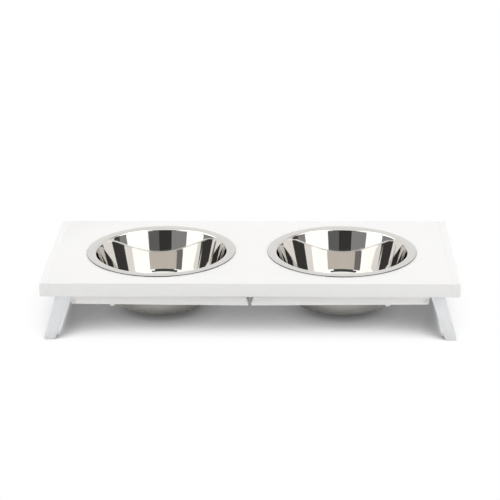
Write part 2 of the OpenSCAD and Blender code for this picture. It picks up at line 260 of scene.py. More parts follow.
class FastenerSettings(bpy.types.PropertyGroup):
    """Sizes of the bolts, nuts, washers and screws."""

    shank_radius: length("Shank radius", "Radius of bolts and screws", 2 * MM)
    bolt_head: length("Bolt head", "Height of the bolt's head", 2.4 * MM)
    head_round: length("Head rounding", "Radius around the bolt's head", 0.45 * MM)
    socket_width: length("Socket width", "Hex socket across its flats", 2.5 * MM)
    socket_depth: length("Socket depth", "Depth of the hex socket", 1.6 * MM)
    lead: length("Lead", "Chamfer at the ends of bolts and bores", 0.4 * MM)
    bore_fit: length("Bore fit", "Gap between a bolt and the bores around it", 0.05 * MM)
    collar_height: length("Collar height", "Height of the lock nut's round collar", 1.2 * MM)
    collar_radius: length("Collar radius", "Radius of the lock nut's round collar", 3.15 * MM)
    screw_head: length("Screw head", "Height of a screw's head", 2.4 * MM)
    screw_skirt: length("Screw skirt", "Height of the straight edge of a screw's head", 0.8 * MM)
    screw_head_radius: length("Screw head radius", "Radius of a screw's head", 4 * MM)
    cross_length: length("Cross length", "Length of the cross recess", 4.4 * MM)
    cross_width: length("Cross width", "Width of the cross recess", 1 * MM)
    cross_depth: length("Cross depth", "Depth of the cross recess", 1.2 * MM)
    turn_steps: IntProperty(name="Turn steps", description="Sides of a turned part", default=48)


class FinishSettings(bpy.types.PropertyGroup):
    """Colours of the finishes."""

    lacquer: colour("Lacquer", "White satin lacquer", (0.915, 0.91, 0.90))
    steel: colour("Polished steel", "Bowls", (0.67, 0.655, 0.63))
    silver: colour("Satin silver", "Short legs", (0.87, 0.88, 0.90))
    zinc: colour("Zinc", "Fasteners", (0.88, 0.88, 0.87))
    grey_rubber: colour("Grey rubber", "Pads", (0.84, 0.84, 0.85))
    white_rubber: colour("White rubber", "Stop bumpers", (0.80, 0.79, 0.77))
    beech: colour("Beech", "Dowels", (0.55, 0.38, 0.22))


class StageSettings(bpy.types.PropertyGroup):
    """Camera, floor and light."""

    eye: FloatVectorProperty(
        name="Eye", description="Place of the camera", default=(0.05796, -2.28757, 0.90816),
        size=3, subtype="XYZ", unit="LENGTH", precision=5,
    )
    pitch: angle("Pitch", "Angle of the view below the horizon", 19.80)
    yaw: angle("Yaw", "Turn of the view to the right", -1.504)
    roll: angle("Roll", "Turn of the picture about its middle", 0.416)
    lens: FloatProperty(
        name="Lens", description="Focal length in mm on 36 mm film", default=125.45,
        subtype="DISTANCE_CAMERA",
    )
    floor_white: colour("Floor white", "Colour of the floor, as it lights the stand", (0.93, 0.93, 0.93))
    floor_reach: length("Floor reach", "Distance from the middle to the floor's edges", 15)
    floor_drop: length("Floor drop", "Gap between the feet and the floor", 0.05 * MM)
    shadow_reach: length("Shadow reach", "Distance over which the stand shades the floor", 0.4)
    contact_reach: length("Contact reach", "Distance over which a near surface shades the floor", 0.05)
    flag_rise: level("Flag rise", "Part of the legs' height that stays open under the flags", 0.06)
    shadow_turn: angle("Shadow turn", "Lean of the floor's light towards the right", 5)
    shadow_lean: angle("Shadow lean", "Lean of the floor's light towards the front", 25)
    card_distance: length("Card distance", "Distance of the softboxes and walls from the stand", 3.4)
    strip_distance: length("Strip distance", "Distance of the strips that only the steel mirrors", 3.35)
    front_box: level("Front boxes", "Strength of the softboxes beside the camera", 1.6)
    ceiling: level("Ceiling", "Strength of the lit ceiling in front of the stand", 1.25)
    side_box: level("Reflectors", "Strength of the cards at the sides that only the steel mirrors", 2.5)
    back_box: level("Back wall", "Strength of the wall behind, as the steel mirrors it", 1.1)
    back_tint: colour("Back wall tint", "Colour of the wall behind", (1.0, 0.945, 0.88))
    dark_room: level("Dark room", "Strength of the room just behind the camera", 0.05)
    high_wall: level("High wall", "Strength of the wall above the camera", 0.08)
    dim_room: level("Dim room", "Strength of the room to the right behind the camera", 0.16)
    grey_room: level("Grey room", "Strength of the other walls behind the lights", 0.32)


class Wire:
    """A value in a node tree. Python's operators on it add the nodes that work it out."""

    def __init__(self, tree, socket=None):
        self.tree = tree
        self.socket = socket

    def fill(self, node, inputs):
        """Gives a node's sockets their values or links."""
        for name, value in inputs.items():
            if isinstance(value, Wire):
                self.tree.links.new(value.socket, node.inputs[name])
            else:
                node.inputs[name].default_value = value

    def node(self, kind, settings, inputs, output=0):
        """Adds a node of any kind, with its settings first, and gives one of its outputs."""
        made = self.tree.nodes.new(kind)
        for name, value in settings.items():
            if name == "stops":
                self.set_stops(made.color_ramp.elements, value)
            else:
                setattr(made, name, value)
        self.fill(made, inputs)
        return Wire(self.tree, made.outputs[output])

    @staticmethod
    def set_stops(elements, stops):
        """Gives a ramp its stops, each a place and a colour."""
        while len(elements) < len(stops):
            elements.new(1)
        for element, (place, shade) in zip(elements, stops):
            element.position = place
            element.color = (*shade, 1)

    def math(self, operation, left, right):
        """The result of one sum on two values."""
        return self.node("ShaderNodeMath", {"operation": operation}, {0: left, 1: right})

    def __add__(self, other):
        return self.math("ADD", self, other)

    __radd__ = __add__

    def __mul__(self, other):
        return self.math("MULTIPLY", self, other)

    __rmul__ = __mul__

    def noise(self, scale, detail=2.0):
        """Cloudy noise at this place, from 0 to 1."""
        inputs = {"Vector": self, "Scale": scale, "Detail": detail}
        return self.node("ShaderNodeTexNoise", {}, inputs, "Fac")

    def stretched(self, *scale):
        """This place with its axes stretched."""
        return self.node("ShaderNodeMapping", {}, {"Vector": self, "Scale": scale})

    def between(self, low, high):
        """A value that goes from low to high as this one goes from 0 to 1."""
        return low + (high - low) * self

    def ramp(self, *stops):
        """The colour on a ramp at this value."""
        return self.node("ShaderNodeValToRGB", {"stops": stops}, {"Fac": self}, "Color")

    def greys(self, tones):
        """The grey on a ramp at this value."""
        return self.ramp(*((place, (tone, tone, tone)) for place, tone in tones))

    def tones(self, base, dark, light, spread):
        """A base colour, changed by a dark to a light share of itself round this value's middle."""
        return self.ramp((0.5 - spread, shaded(base, dark)), (0.5 + spread, shaded(base, light)))

    def mixed(self, base, other):
        """A colour that turns from a base to another as this value goes from 0 to 1."""
        return self.node("ShaderNodeMixRGB", {}, {"Fac": self, "Color1": base, "Color2": other})

    def bump(self, strength, distance):
        """A normal that follows this height."""
        inputs = {"Height": self, "Strength": strength, "Distance": distance}
        return self.node("ShaderNodeBump", {}, inputs)


def shaded(base, share):
    """A colour made lighter or darker by a share of itself."""
    return tuple(min(1.0, part * (1 + share)) for part in base)


def finish_name(slot):
    """The name of a slot's finish, which sets it apart from the frame's plain material."""
    return f"{slot}_finish"


def start_finish(slot):
    """A new material for a slot, its shader, and the wire that gives places on the object."""
    material = bpy.data.materials.new(finish_name(slot))
    material.use_nodes = True
    tree = material.node_tree
    place = Wire(tree).node("ShaderNodeTexCoord", {}, {}, "Object")
    return material, tree.nodes["Principled BSDF"], place


def white_lacquer(finishes):
    """Sprayed satin lacquer with a fine orange peel."""
    material, shader, place = start_finish("white_lacquer")
    cloud = place.noise(scale=9, detail=3)
    peel = place.noise(scale=620) + 0.5 * place.noise(scale=1700)
    place.fill(shader, {
        "Base Color": cloud.tones(finishes.lacquer, dark=-0.008, light=0, spread=0.2),
        "Roughness": place.noise(scale=70).between(0.40, 0.46),
        "Normal": peel.bump(strength=0.05, distance=0.15 * MM),
        "Specular IOR Level": 0.4,
    })
    return material


def polished_steel(finishes):
    """Mirror-polished steel with faint lines from the polishing wheel, and painted shade on the hem: a
    dark colour on the rolled edge stands in for the contact shadow under the rim.
    """
    material, shader, place = start_finish("polished_steel")
    lines = place.stretched(40, 40, 900).noise(scale=4, detail=3)
    smudge = place.noise(scale=28, detail=3)
    polished = smudge.tones(finishes.steel, dark=-0.03, light=0, spread=0.15)
    # Painted shade: the rolled edge is coloured nearly black to stand in for the contact shadow where the
    # rim meets the board
    painted_hem_shade = smudge.tones(finishes.steel, dark=-0.88, light=-0.8, spread=0.15)
    hem_shade_mark = place.node("ShaderNodeAttribute", {"attribute_name": HEM_SHADE_MARK}, {}, "Fac")
    place.fill(shader, {
        "Base Color": place.math("GREATER_THAN", hem_shade_mark, HEM_SHADE_START).mixed(polished, painted_hem_shade),
        "Metallic": 1.0,
        "Roughness": lines.between(0.025, 0.055),
    })
    return material


def satin_silver(finishes):
    """Cast alloy under a silver satin coat with fine flakes."""
    material, shader, place = start_finish("satin_silver")
    flakes = place.noise(scale=2600, detail=1)
    cloud = place.noise(scale=45, detail=3)
    grain = place.noise(scale=900)
    blend = 0.5 * flakes + 0.5 * cloud
    place.fill(shader, {
        "Base Color": blend.tones(finishes.silver, dark=-0.05, light=0.03, spread=0.15),
        "Metallic": 0.4,
        "Roughness": flakes.between(0.38, 0.48),
        "Normal": grain.bump(strength=0.06, distance=0.1 * MM),
    })
    return material


def zinc_steel(finishes):
    """Pale zinc flake coat with its mottled crystals."""
    material, shader, place = start_finish("zinc_steel")
    crystals = place.noise(scale=700, detail=4)
    wear = place.noise(scale=260)
    place.fill(shader, {
        "Base Color": crystals.tones(finishes.zinc, dark=-0.12, light=0.08, spread=0.2),
        "Metallic": 0.3,
        "Roughness": wear.between(0.34, 0.50),
        "Normal": crystals.bump(strength=0.05, distance=0.05 * MM),
    })
    return material


def rubber(slot, base):
    """Moulded rubber with a dull, finely pitted skin."""
    material, shader, place = start_finish(slot)
    pits = place.noise(scale=2200, detail=3)
    bloom = place.noise(scale=120, detail=3)
    place.fill(shader, {
        "Base Color": bloom.tones(base, dark=-0.06, light=0.04, spread=0.2),
        "Roughness": pits.between(0.62, 0.82),
        "Normal": pits.bump(strength=0.15, distance=0.08 * MM),
    })
    return material


def grey_rubber(finishes):
    """Rubber of the pads."""
    return rubber("grey_rubber", finishes.grey_rubber)


def white_rubber(finishes):
    """Rubber of the stop bumpers."""
    return rubber("white_rubber", finishes.white_rubber)


def beech(finishes):
    """Planed beech with its short dark flecks."""
    material, shader, place = start_finish("beech")
    grain = place.stretched(30, 30, 900).noise(scale=3, detail=4)
    flecks = place.stretched(200, 200, 1500).noise(scale=3, detail=1)
    blend = 0.7 * grain + 0.3 * flecks
    place.fill(shader, {
        "Base Color": blend.tones(finishes.beech, dark=-0.2, light=0.1, spread=0.15),
        "Roughness": grain.between(0.55, 0.70),
        "Normal": grain.bump(strength=0.1, distance=0.1 * MM),
    })
    return material


FINISHES = {
    "white_lacquer": white_lacquer,
    "polished_steel": polished_steel,
    "satin_silver": satin_silver,
    "zinc_steel": zinc_steel,
    "grey_rubber": grey_rubber,
    "white_rubber": white_rubber,
    "beech": beech,
}


def finish_of(slot):
    """The material of a slot, made when it is first asked for."""
    made = bpy.data.materials.get(finish_name(slot))
    return made or FINISHES[slot](bpy.context.scene.feeder_finishes)


def add_box(bm, low, high):
    """Adds a box between two corners and gives its edges."""
    verts = bmesh.ops.create_cube(bm, size=1)["verts"]
    low, high = Vector(low), Vector(high)
    bmesh.ops.scale(bm, vec=high - low, verts=verts)
    bmesh.ops.translate(bm, vec=(low + high) / 2, verts=verts)
    return [edge for edge in bm.edges if edge.verts[0] in verts]


def add_outline(bm, points):
    """Adds one face through a few points."""
    return bm.faces.new([bm.verts.new(point) for point in points])


def thicken(bm, face, along):
    """Extrudes a face into a closed solid."""
    made = bmesh.ops.extrude_face_region(bm, geom=[face])["geom"]
    moved = [part for part in made if isinstance(part, bmesh.types.BMVert)]
    bmesh.ops.translate(bm, vec=along, verts=moved)
    bmesh.ops.recalc_face_normals(bm, faces=bm.faces[:])


def round_edges(bm, edges, radius, segments=4):
    """Rounds edges, and shades the rounding smooth between faces that stay flat."""
    made = bmesh.ops.bevel(
        bm, geom=edges, offset=radius, offset_type="OFFSET", affect="EDGES",
        segments=segments, profile=0.5, material=-1, clamp_overlap=True,
    )
    for face in made["faces"]:
        face.smooth = True


def round_corners(bm, verts, radius, segments):
    """Rounds the corners of a flat outline."""
    bmesh.ops.bevel(
        bm, geom=verts, offset=radius, offset_type="OFFSET", affect="VERTICES",
        segments=segments, profile=0.5, material=-1, clamp_overlap=True,
    )


def sharp_edges(bm):
    """The edges where two faces meet at a sharp angle."""
    return [edge for edge in bm.edges if edge.is_manifold and edge.calc_face_angle() > EDGE_ANGLE]


def edges_along(edges, axis):
    """Those edges that run along an axis, 0 to 2."""
    return [
        edge for edge in edges
        if abs((edge.verts[1].co - edge.verts[0].co).normalized()[axis]) > ALONG
    ]


def edges_at(bm, axis, place):
    """The edges that lie in a plane across an axis."""
    return [
        edge for edge in bm.edges
        if all(abs(vert.co[axis] - place) < WELD for vert in edge.verts)
    ]


class Section:
    """A line of edges in the XZ plane, drawn from point to point, for turning on a lathe."""

    def __init__(self, bm, x, z):
        self.bm = bm
        self.start = self.end = bm.verts.new((x, 0, z))

    def run(self, x, z, steps=1):
        """Goes straight to a point, in equal steps."""
        stride = (Vector((x, 0, z)) - self.end.co) / steps
        for _ in range(steps):
            self.end = bmesh.ops.extrude_vert_indiv(self.bm, verts=[self.end])["verts"][0]
            bmesh.ops.translate(self.bm, vec=stride, verts=[self.end])

    def bend(self, x, z, turn, steps):
        """Goes round a centre, anticlockwise where the turn is positive."""
        made = bmesh.ops.spin(
            self.bm, geom=[self.end], cent=(x, 0, z), axis=(0, -1, 0), angle=turn, steps=steps,
        )["geom_last"]
        self.end = next(part for part in made if isinstance(part, bmesh.types.BMVert))

    def close(self):
        """Joins the last point to the first."""
        self.bm.edges.new((self.end, self.start))


def lathe(bm, steps):
    """Turns every edge once about the Z axis into a closed, smooth solid."""
    bmesh.ops.spin(
        bm, geom=bm.verts[:] + bm.edges[:], cent=(0, 0, 0), axis=(0, 0, 1),
        angle=math.tau, steps=steps, use_merge=True,
    )
    bmesh.ops.remove_doubles(bm, verts=bm.verts[:], dist=WELD)
    bmesh.ops.recalc_face_normals(bm, faces=bm.faces[:])
    for face in bm.faces:
        face.smooth = True


def point_rearwards(bm, place):
    """Lays a turned part along Y, with its start at a place."""
    turn = Matrix.Rotation(-math.pi / 2, 3, "X")
    bmesh.ops.rotate(bm, cent=(0, 0, 0), matrix=turn, verts=bm.verts[:])
    bmesh.ops.translate(bm, vec=place, verts=bm.verts[:])


def combine(bm, other, operation):
    """Joins, cuts or intersects two closed solids, uses them up and gives the new one."""
    solids = []
    for source in (bm, other):
        mesh = bpy.data.meshes.new("solid")
        source.to_mesh(mesh)
        source.free()
        solids.append(bpy.data.objects.new("solid", mesh))
        bpy.context.scene.collection.objects.link(solids[-1])
    modifier = solids[0].modifiers.new("combine", "BOOLEAN")
    modifier.solver = "EXACT"
    modifier.operation = operation
    modifier.object = solids[1]
    result = bmesh.new()
    result.from_object(solids[0], bpy.context.evaluated_depsgraph_get())
    for solid in solids:
        bpy.data.meshes.remove(solid.data)
    return result


def placed_at(bm, end, side):
    """A copy of a front right solid at its own corner of the stand."""
    copy = bm.copy()
    flip = Vector((SIDES[side], ENDS[end], 1))
    bmesh.ops.scale(copy, vec=flip, verts=copy.verts[:])
    if flip.x * flip.y < 0:
        bmesh.ops.reverse_faces(copy, faces=copy.faces[:])
    return copy


def make_piece(bm, node, slot):
    """Makes the object that stands for a CAD node, on the node's own body."""
    mesh = bpy.data.meshes.new(node)
    bm.to_mesh(mesh)
    bm.free()
    mesh.set_sharp_from_angle(angle=CREASE_ANGLE)
    mesh.materials.append(finish_of(slot))
    piece = bpy.data.objects.new(f"{node}.finished", mesh)
    bpy.context.scene.collection.objects.link(piece)
    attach(piece, frame["nodes"][node]["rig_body"])
    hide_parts(node)


def make_on_sides(bm, name, slot):
    """Makes a right-hand solid's pieces on both sides."""
    for side in SIDES:
        make_piece(placed_at(bm, "front", side), f"{side}_{name}", slot)
    bm.free()


def make_at_corners(bm, name, slot):
    """Makes a front right solid's pieces at all four corners."""
    for end in ENDS:
        for side in SIDES:
            make_piece(placed_at(bm, end, side), f"{end}_{side}_{name}", slot)
    bm.free()


def cutout_walls(bm, sizes):
    """The upright faces of the top board's two cut-outs."""
    walls = set()
    for face in bm.faces:
        middle = face.calc_center_median()
        inside = abs(middle.x) < BOARD_HIGH.x - sizes.edge_round and abs(middle.y) < sizes.cutout_radius
        if inside and abs(face.normal.z) < UPRIGHT:
            walls.add(face)
    return walls


def top_board(sizes):
    """The board between the end boards, with its two cut-outs."""
    bm = bmesh.new()
    corners = bmesh.ops.create_grid(bm, x_segments=1, y_segments=1, size=0.5)["verts"]
    bmesh.ops.scale(bm, vec=BOARD_HIGH - BOARD_LOW, verts=corners)
    bmesh.ops.delete(bm, geom=bm.faces[:], context="FACES_ONLY")
    for sign in SIDES.values():
        bmesh.ops.create_circle(
            bm, segments=sizes.cutout_steps, radius=sizes.cutout_radius,
            matrix=Matrix.Translation((sign * BOWL_CENTRE.x, 0, 0)),
        )
    bmesh.ops.triangle_fill(
        bm, use_beauty=True, use_dissolve=True, edges=bm.edges[:], normal=(0, 0, 1),
    )
    bmesh.ops.translate(bm, vec=(0, 0, BOARD_HIGH.z), verts=bm.verts[:])
    bmesh.ops.solidify(bm, geom=bm.faces[:], thickness=BOARD_HIGH.z - BOARD_LOW.z)
    bmesh.ops.recalc_face_normals(bm, faces=bm.faces[:])
    outer = edges_at(bm, 1, BOARD_LOW.y) + edges_at(bm, 1, BOARD_HIGH.y)
    round_edges(bm, edges_along(outer, 0), sizes.edge_round)
    for end in (BOARD_LOW.x, BOARD_HIGH.x):
        round_edges(bm, edges_at(bm, 0, end), sizes.joint_round, segments=2)
    walls = cutout_walls(bm, sizes)
    for face in walls:
        face.smooth = True
    rims = [edge for edge in sharp_edges(bm) if not walls.isdisjoint(edge.link_faces)]
    round_edges(bm, rims, sizes.cutout_round)
    return bm


def end_board(sizes):
    """The board across the right end."""
    bm = bmesh.new()
    edges = add_box(bm, END_LOW, END_HIGH)
    outer = [edge for edge in edges if max(vert.co.x for vert in edge.verts) > END_LOW.x + WELD]
    round_edges(bm, outer, sizes.edge_round)
    round_edges(bm, edges_at(bm, 0, END_LOW.x), sizes.joint_round, segments=2)
    return bm


class FEEDER_OT_boards(bpy.types.Operator):
    """Makes the top board and the two end boards"""

    bl_idname = "feeder.boards"
    bl_label = "Boards"

    def execute(self, context):
        sizes = context.scene.feeder_boards
        make_piece(top_board(sizes), "top_board", "white_lacquer")
        make_on_sides(end_board(sizes), "end_board", "white_lacquer")
        return {"FINISHED"}


def bowl(sizes):
    """The right bowl, turned from the section of its sheet."""
    rim = (BOWL_HIGH.x - BOWL_LOW.x) / 2
    crown = BOWL_HIGH.z - BOWL_CENTRE.z
    sheet = sizes.sheet
    # Ends and centres of the section's bends, from the bowl's axis and the board's top
    crest = rim - sizes.rim_run
    rim_turn = 2 * math.atan2(crown - sizes.hem_height, sizes.rim_run)
    rim_radius = sizes.rim_run / math.sin(rim_turn)
    under_turn = math.asin((sizes.rim_run - sizes.hem_width) / (rim_radius - sheet))
    rim_z = crown - rim_radius
    edge_x = rim - sizes.hem_height * math.tan(sizes.hem_lean)
    edge_turn = math.asin((edge_x - crest) / rim_radius)
    edge_z = rim_z + rim_radius * math.cos(edge_turn)
    lip_z = crown - sizes.lip_radius
    wall_turn = math.pi / 2 - sizes.wall_slope
    outer_base = BOWL_LOW.z - BOWL_CENTRE.z
    base_z = outer_base + sheet + sizes.base_radius
    wall_x = crest - sizes.lip_radius * math.sin(wall_turn)
    wall_z = lip_z + sizes.lip_radius * math.cos(wall_turn)
    foot_z = base_z - sizes.base_radius * math.cos(wall_turn)
    foot_x = wall_x - (wall_z - foot_z) * math.tan(sizes.wall_slope)
    base_x = foot_x - sizes.base_radius * math.sin(wall_turn)
    under_x = wall_x + sheet * math.cos(sizes.wall_slope)
    under_z = wall_z - sheet * math.sin(sizes.wall_slope)

    bm = bmesh.new()
    line = Section(bm, 0, outer_base)
    line.run(base_x, outer_base, steps=6)
    line.bend(base_x, base_z, wall_turn, steps=18)
    line.run(under_x, under_z, steps=14)
    line.bend(crest, lip_z, -wall_turn, steps=10)
    line.bend(crest, rim_z, -under_turn, steps=12)
    line.run(rim - sizes.hem_width, 0)
    line.run(rim, 0)
    line.run(edge_x, edge_z)
    line.bend(crest, rim_z, edge_turn, steps=16)
    line.bend(crest, lip_z, wall_turn, steps=12)
    line.run(foot_x, foot_z, steps=14)
    line.bend(base_x, base_z, -wall_turn, steps=18)
    line.run(0, outer_base + sheet, steps=6)
    lathe(bm, sizes.turn_steps)
    # Marks the rolled edge, which the steel's finish colours dark as painted shade for the rim's contact
    # shadow
    hem_shade_mark = bm.verts.layers.float.new(HEM_SHADE_MARK)
    for vert in bm.verts:
        vert[hem_shade_mark] = vert.co.xy.length > rim - sizes.hem_width / 2
    bmesh.ops.translate(bm, vec=BOWL_CENTRE, verts=bm.verts[:])
    return bm


class FEEDER_OT_bowls(bpy.types.Operator):
    """Makes the two bowls"""

    bl_idname = "feeder.bowls"
    bl_label = "Bowls"

    def execute(self, context):
        make_on_sides(bowl(context.scene.feeder_bowls), "bowl", "polished_steel")
        return {"FINISHED"}


def short_leg(sizes):
    """The cast leg with its mounting plate, hinge ear and rib."""
    top, sole = CAST_HIGH.z, CAST_LOW.z
    plate_low = top - sizes.plate_thickness
    front, back = CAST_LOW.y, CAST_LOW.y + sizes.depth
    lean = (sizes.foot_inner - sizes.top_inner) / (top - sole)
    ear_front = WASHER_HIGH.y + sizes.ear_gap
    casting = bmesh.new()
    thicken(casting, add_outline(casting, [
        (sizes.top_inner, front, top), (sizes.top_outer, front, top),
        (CAST_HIGH.x, front, sole), (sizes.foot_inner, front, sole),
    ]), (0, sizes.depth, 0))
    round_edges(casting, casting.edges[:], sizes.edge_round)

    neck = bmesh.new()
    inner = sizes.top_inner + sizes.plate_thickness * lean
    neck_back = ear_front + sizes.plate_corner
    add_box(neck, (inner, back - OVERLAP, plate_low), (sizes.top_outer, neck_back, top))
    plate = bmesh.new()
    edges = add_box(plate, (CAST_LOW.x, ear_front, plate_low), (sizes.plate_outer, CAST_HIGH.y, top))
    round_edges(plate, edges_along(edges, 2), sizes.plate_corner, segments=6)
    round_edges(plate, edges_at(plate, 2, plate_low), sizes.edge_round)

    ear = bmesh.new()
    ear_low, ear_high = PIVOT.z - sizes.ear_radius, top - sizes.edge_round
    ear_left, ear_right = PIVOT.x - sizes.ear_radius, PIVOT.x + sizes.ear_radius
    add_outline(ear, [
        (ear_left, ear_front, ear_high), (ear_right, ear_front, ear_high),
        (ear_right, ear_front, ear_low), (ear_left, ear_front, ear_low),
    ])
    lower = [vert for vert in ear.verts if vert.co.z < PIVOT.z]
    round_corners(ear, lower, sizes.ear_round, segments=10)
    thicken(ear, ear.faces[:][0], (0, sizes.ear_thickness, 0))

    rib = bmesh.new()
    rib_x = sizes.top_inner + (sizes.plate_thickness + sizes.rib_height) * lean
    rib_back, rib_low = back + sizes.rib_depth, plate_low - sizes.rib_height
    thicken(rib, add_outline(rib, [
        (rib_x, back - OVERLAP, top - OVERLAP), (rib_x, rib_back, plate_low + OVERLAP),
        (rib_x, rib_back, plate_low), (rib_x, back, rib_low), (rib_x, back - OVERLAP, rib_low),
    ]), (sizes.rib_thickness, 0, 0))
    for part in (neck, plate, ear, rib):
        casting = combine(casting, part, "UNION")
    return casting


class FEEDER_OT_short_legs(bpy.types.Operator):
    """Makes the four cast short legs"""

    bl_idname = "feeder.short_legs"
    bl_label = "Short legs"

    def execute(self, context):
        make_at_corners(short_leg(context.scene.feeder_short_legs), "short_leg", "satin_silver")
        return {"FINISHED"}


def foot_pad(sizes):
    """The pad under a short leg, hollow in its sole."""
    bm = bmesh.new()
    corners = edges_along(add_box(bm, FOOT_LOW, FOOT_HIGH), 2)
    sole = min(bm.faces, key=lambda face: face.calc_center_median().z)
    bmesh.ops.inset_region(bm, faces=[sole], thickness=sizes.pad_rim, use_even_offset=True)
    bmesh.ops.inset_region(
        bm, faces=[sole], thickness=sizes.pad_edge, depth=-sizes.pad_hollow, use_even_offset=True,
    )
    round_edges(bm, corners, sizes.pad_corner, segments=5)
    on_floor = edges_at(bm, 2, FOOT_LOW.z)
    rims = [edge for edge in sharp_edges(bm) if edge in on_floor]
    round_edges(bm, rims, sizes.pad_edge, segments=3)
    return bm


class FEEDER_OT_foot_pads(bpy.types.Operator):
    """Makes the pads under the short legs"""

    bl_idname = "feeder.foot_pads"
    bl_label = "Foot pads"

    def execute(self, context):
        make_at_corners(foot_pad(context.scene.feeder_short_legs), "foot_pad", "grey_rubber")
        return {"FINISHED"}


def drooped(bm, sizes):
    """Turns a level long leg's part about the pivot to its drooping place."""
    turn = Matrix.Rotation(-sizes.droop, 3, "Y")
    bmesh.ops.rotate(bm, cent=PIVOT, matrix=turn, verts=bm.verts[:])
    return bm


def long_leg_low(sizes):
    """Height of a level long leg's lower face."""
    return PIVOT.z - sizes.pivot_rise


def foot_top(sizes):
    """Place along X of the upper corner of a level long leg's foot."""
    return sizes.foot_start + sizes.thickness * math.tan(sizes.splay)


def long_leg(sizes):
    """The folded leg with its slanted foot and the recess for its bolt."""
    low = long_leg_low(sizes)
    high = low + sizes.thickness
    end = PIVOT.x + sizes.end_margin
    front, back = FOLD_LOW.y, FOLD_HIGH.y
    bm = bmesh.new()
    face = add_outline(bm, [
        (sizes.foot_start, front, low), (end, front, low),
        (end, front, high), (foot_top(sizes), front, high),
    ])
    at_end = [vert for vert in face.verts if abs(vert.co.x - end) < WELD]
    round_corners(bm, at_end, sizes.end_round, segments=8)
    thicken(bm, bm.faces[:][0], (0, back - front, 0))
    round_edges(bm, sharp_edges(bm), sizes.edge_round)

    recess = bmesh.new()
    line = Section(recess, 0, -OVERLAP)
    line.run(sizes.recess_radius + sizes.recess_lead, -OVERLAP)
    line.run(sizes.recess_radius + sizes.recess_lead, 0)
    line.run(sizes.recess_radius, sizes.recess_lead)
    line.run(sizes.recess_radius, sizes.recess_depth)
    line.run(sizes.bore_radius, sizes.recess_depth)
    line.run(sizes.bore_radius, back - front + OVERLAP)
    line.run(0, back - front + OVERLAP)
    lathe(recess, steps=48)
    point_rearwards(recess, (PIVOT.x, front, PIVOT.z))
    return drooped(combine(bm, recess, "DIFFERENCE"), sizes)


def long_leg_rail(sizes):
    """The rail from a front long leg to the rear one."""
    low = long_leg_low(sizes)
    start = foot_top(sizes) + sizes.rail_inset
    stop = start + sizes.rail_width
    bm = bmesh.new()
    edges = add_box(bm, (start, RAIL_LOW.y, low), (stop, RAIL_HIGH.y, low + sizes.thickness))
    round_edges(bm, edges_along(edges, 1), sizes.edge_round)
    return drooped(bm, sizes)


class FEEDER_OT_long_legs(bpy.types.Operator):
    """Makes the four long legs and the two rails that join them"""

    bl_idname = "feeder.long_legs"
    bl_label = "Long legs"

    def execute(self, context):
        sizes = context.scene.feeder_long_legs
        make_at_corners(long_leg(sizes), "long_leg", "white_lacquer")
        make_on_sides(long_leg_rail(sizes), "long_leg_rail", "white_lacquer")
        return {"FINISHED"}


def stop_bumper(sizes):
    """The domed bumper under a long leg."""
    radius = (BUMP_HIGH.y - BUMP_LOW.y) / 2
    bm = bmesh.new()
    # A quarter of a unit circle, stretched to the dome
    line = Section(bm, 0, 0)
    line.run(1, 0)
    line.bend(0, 0, -math.pi / 2, steps=12)
    bmesh.ops.scale(bm, vec=(radius, 1, sizes.stop_rise), verts=bm.verts[:])
    lathe(bm, steps=40)
    place = (PIVOT.x - sizes.stop_reach, (BUMP_LOW.y + BUMP_HIGH.y) / 2, long_leg_low(sizes))
    bmesh.ops.translate(bm, vec=place, verts=bm.verts[:])
    return drooped(bm, sizes)


def long_leg_pad(sizes):
    """The thin pad on a long leg's slanted foot."""
    low = long_leg_low(sizes)
    along = Vector((math.sin(sizes.splay), 0, math.cos(sizes.splay)))
    outwards = Vector((-along.z, 0, along.x)) * sizes.pad_thickness
    start = Vector((sizes.foot_start, FOLD_LOW.y + sizes.pad_margin, low))
    start += along * sizes.pad_margin
    stop = start + along * (sizes.thickness / math.cos(sizes.splay) - 2 * sizes.pad_margin)
    bm = bmesh.new()
    outline = add_outline(bm, [start, stop, stop + outwards, start + outwards])
    thicken(bm, outline, (0, FOLD_HIGH.y - FOLD_LOW.y - 2 * sizes.pad_margin, 0))
    round_edges(bm, bm.edges[:], sizes.pad_edge, segments=3)
    return drooped(bm, sizes)


class FEEDER_OT_long_leg_rubbers(bpy.types.Operator):
    """Makes the stop bumpers and the foot pads of the long legs"""

    bl_idname = "feeder.long_leg_rubbers"
    bl_label = "Bumpers and pads"

    def execute(self, context):
        sizes = context.scene.feeder_long_legs
        make_at_corners(stop_bumper(sizes), "stop_bumper", "white_rubber")
        make_at_corners(long_leg_pad(sizes), "long_leg_pad", "grey_rubber")
        return {"FINISHED"}


def hex_bar(width, depth):
    """A six-sided bar along Z, centred, of this width across its flats."""
    bm = bmesh.new()
    radius = width / math.sqrt(3)
    bmesh.ops.create_cone(
        bm, cap_ends=True, segments=6, radius1=radius, radius2=radius, depth=depth,
        matrix=Matrix.Rotation(math.pi / 2, 4, "Z"),
    )
    return bm


def pivot_bolt(sizes):
    """The bolt with its round head and hex socket."""
    head = (BOLT_HIGH.x - BOLT_LOW.x) / 2
    span = BOLT_HIGH.y - BOLT_LOW.y
    bm = bmesh.new()
    line = Section(bm, 0, 0)
    line.run(head - sizes.head_round, 0)
    line.bend(head - sizes.head_round, sizes.head_round, math.pi / 2, steps=5)
    line.run(head, sizes.bolt_head)
    line.run(sizes.shank_radius, sizes.bolt_head)
    line.run(sizes.shank_radius, span - sizes.lead)
    line.run(sizes.shank_radius - sizes.lead, span)
    line.run(0, span)
    lathe(bm, sizes.turn_steps)
    bm = combine(bm, hex_bar(sizes.socket_width, 2 * sizes.socket_depth), "DIFFERENCE")
    point_rearwards(bm, (PIVOT.x, BOLT_LOW.y, PIVOT.z))
    return bm


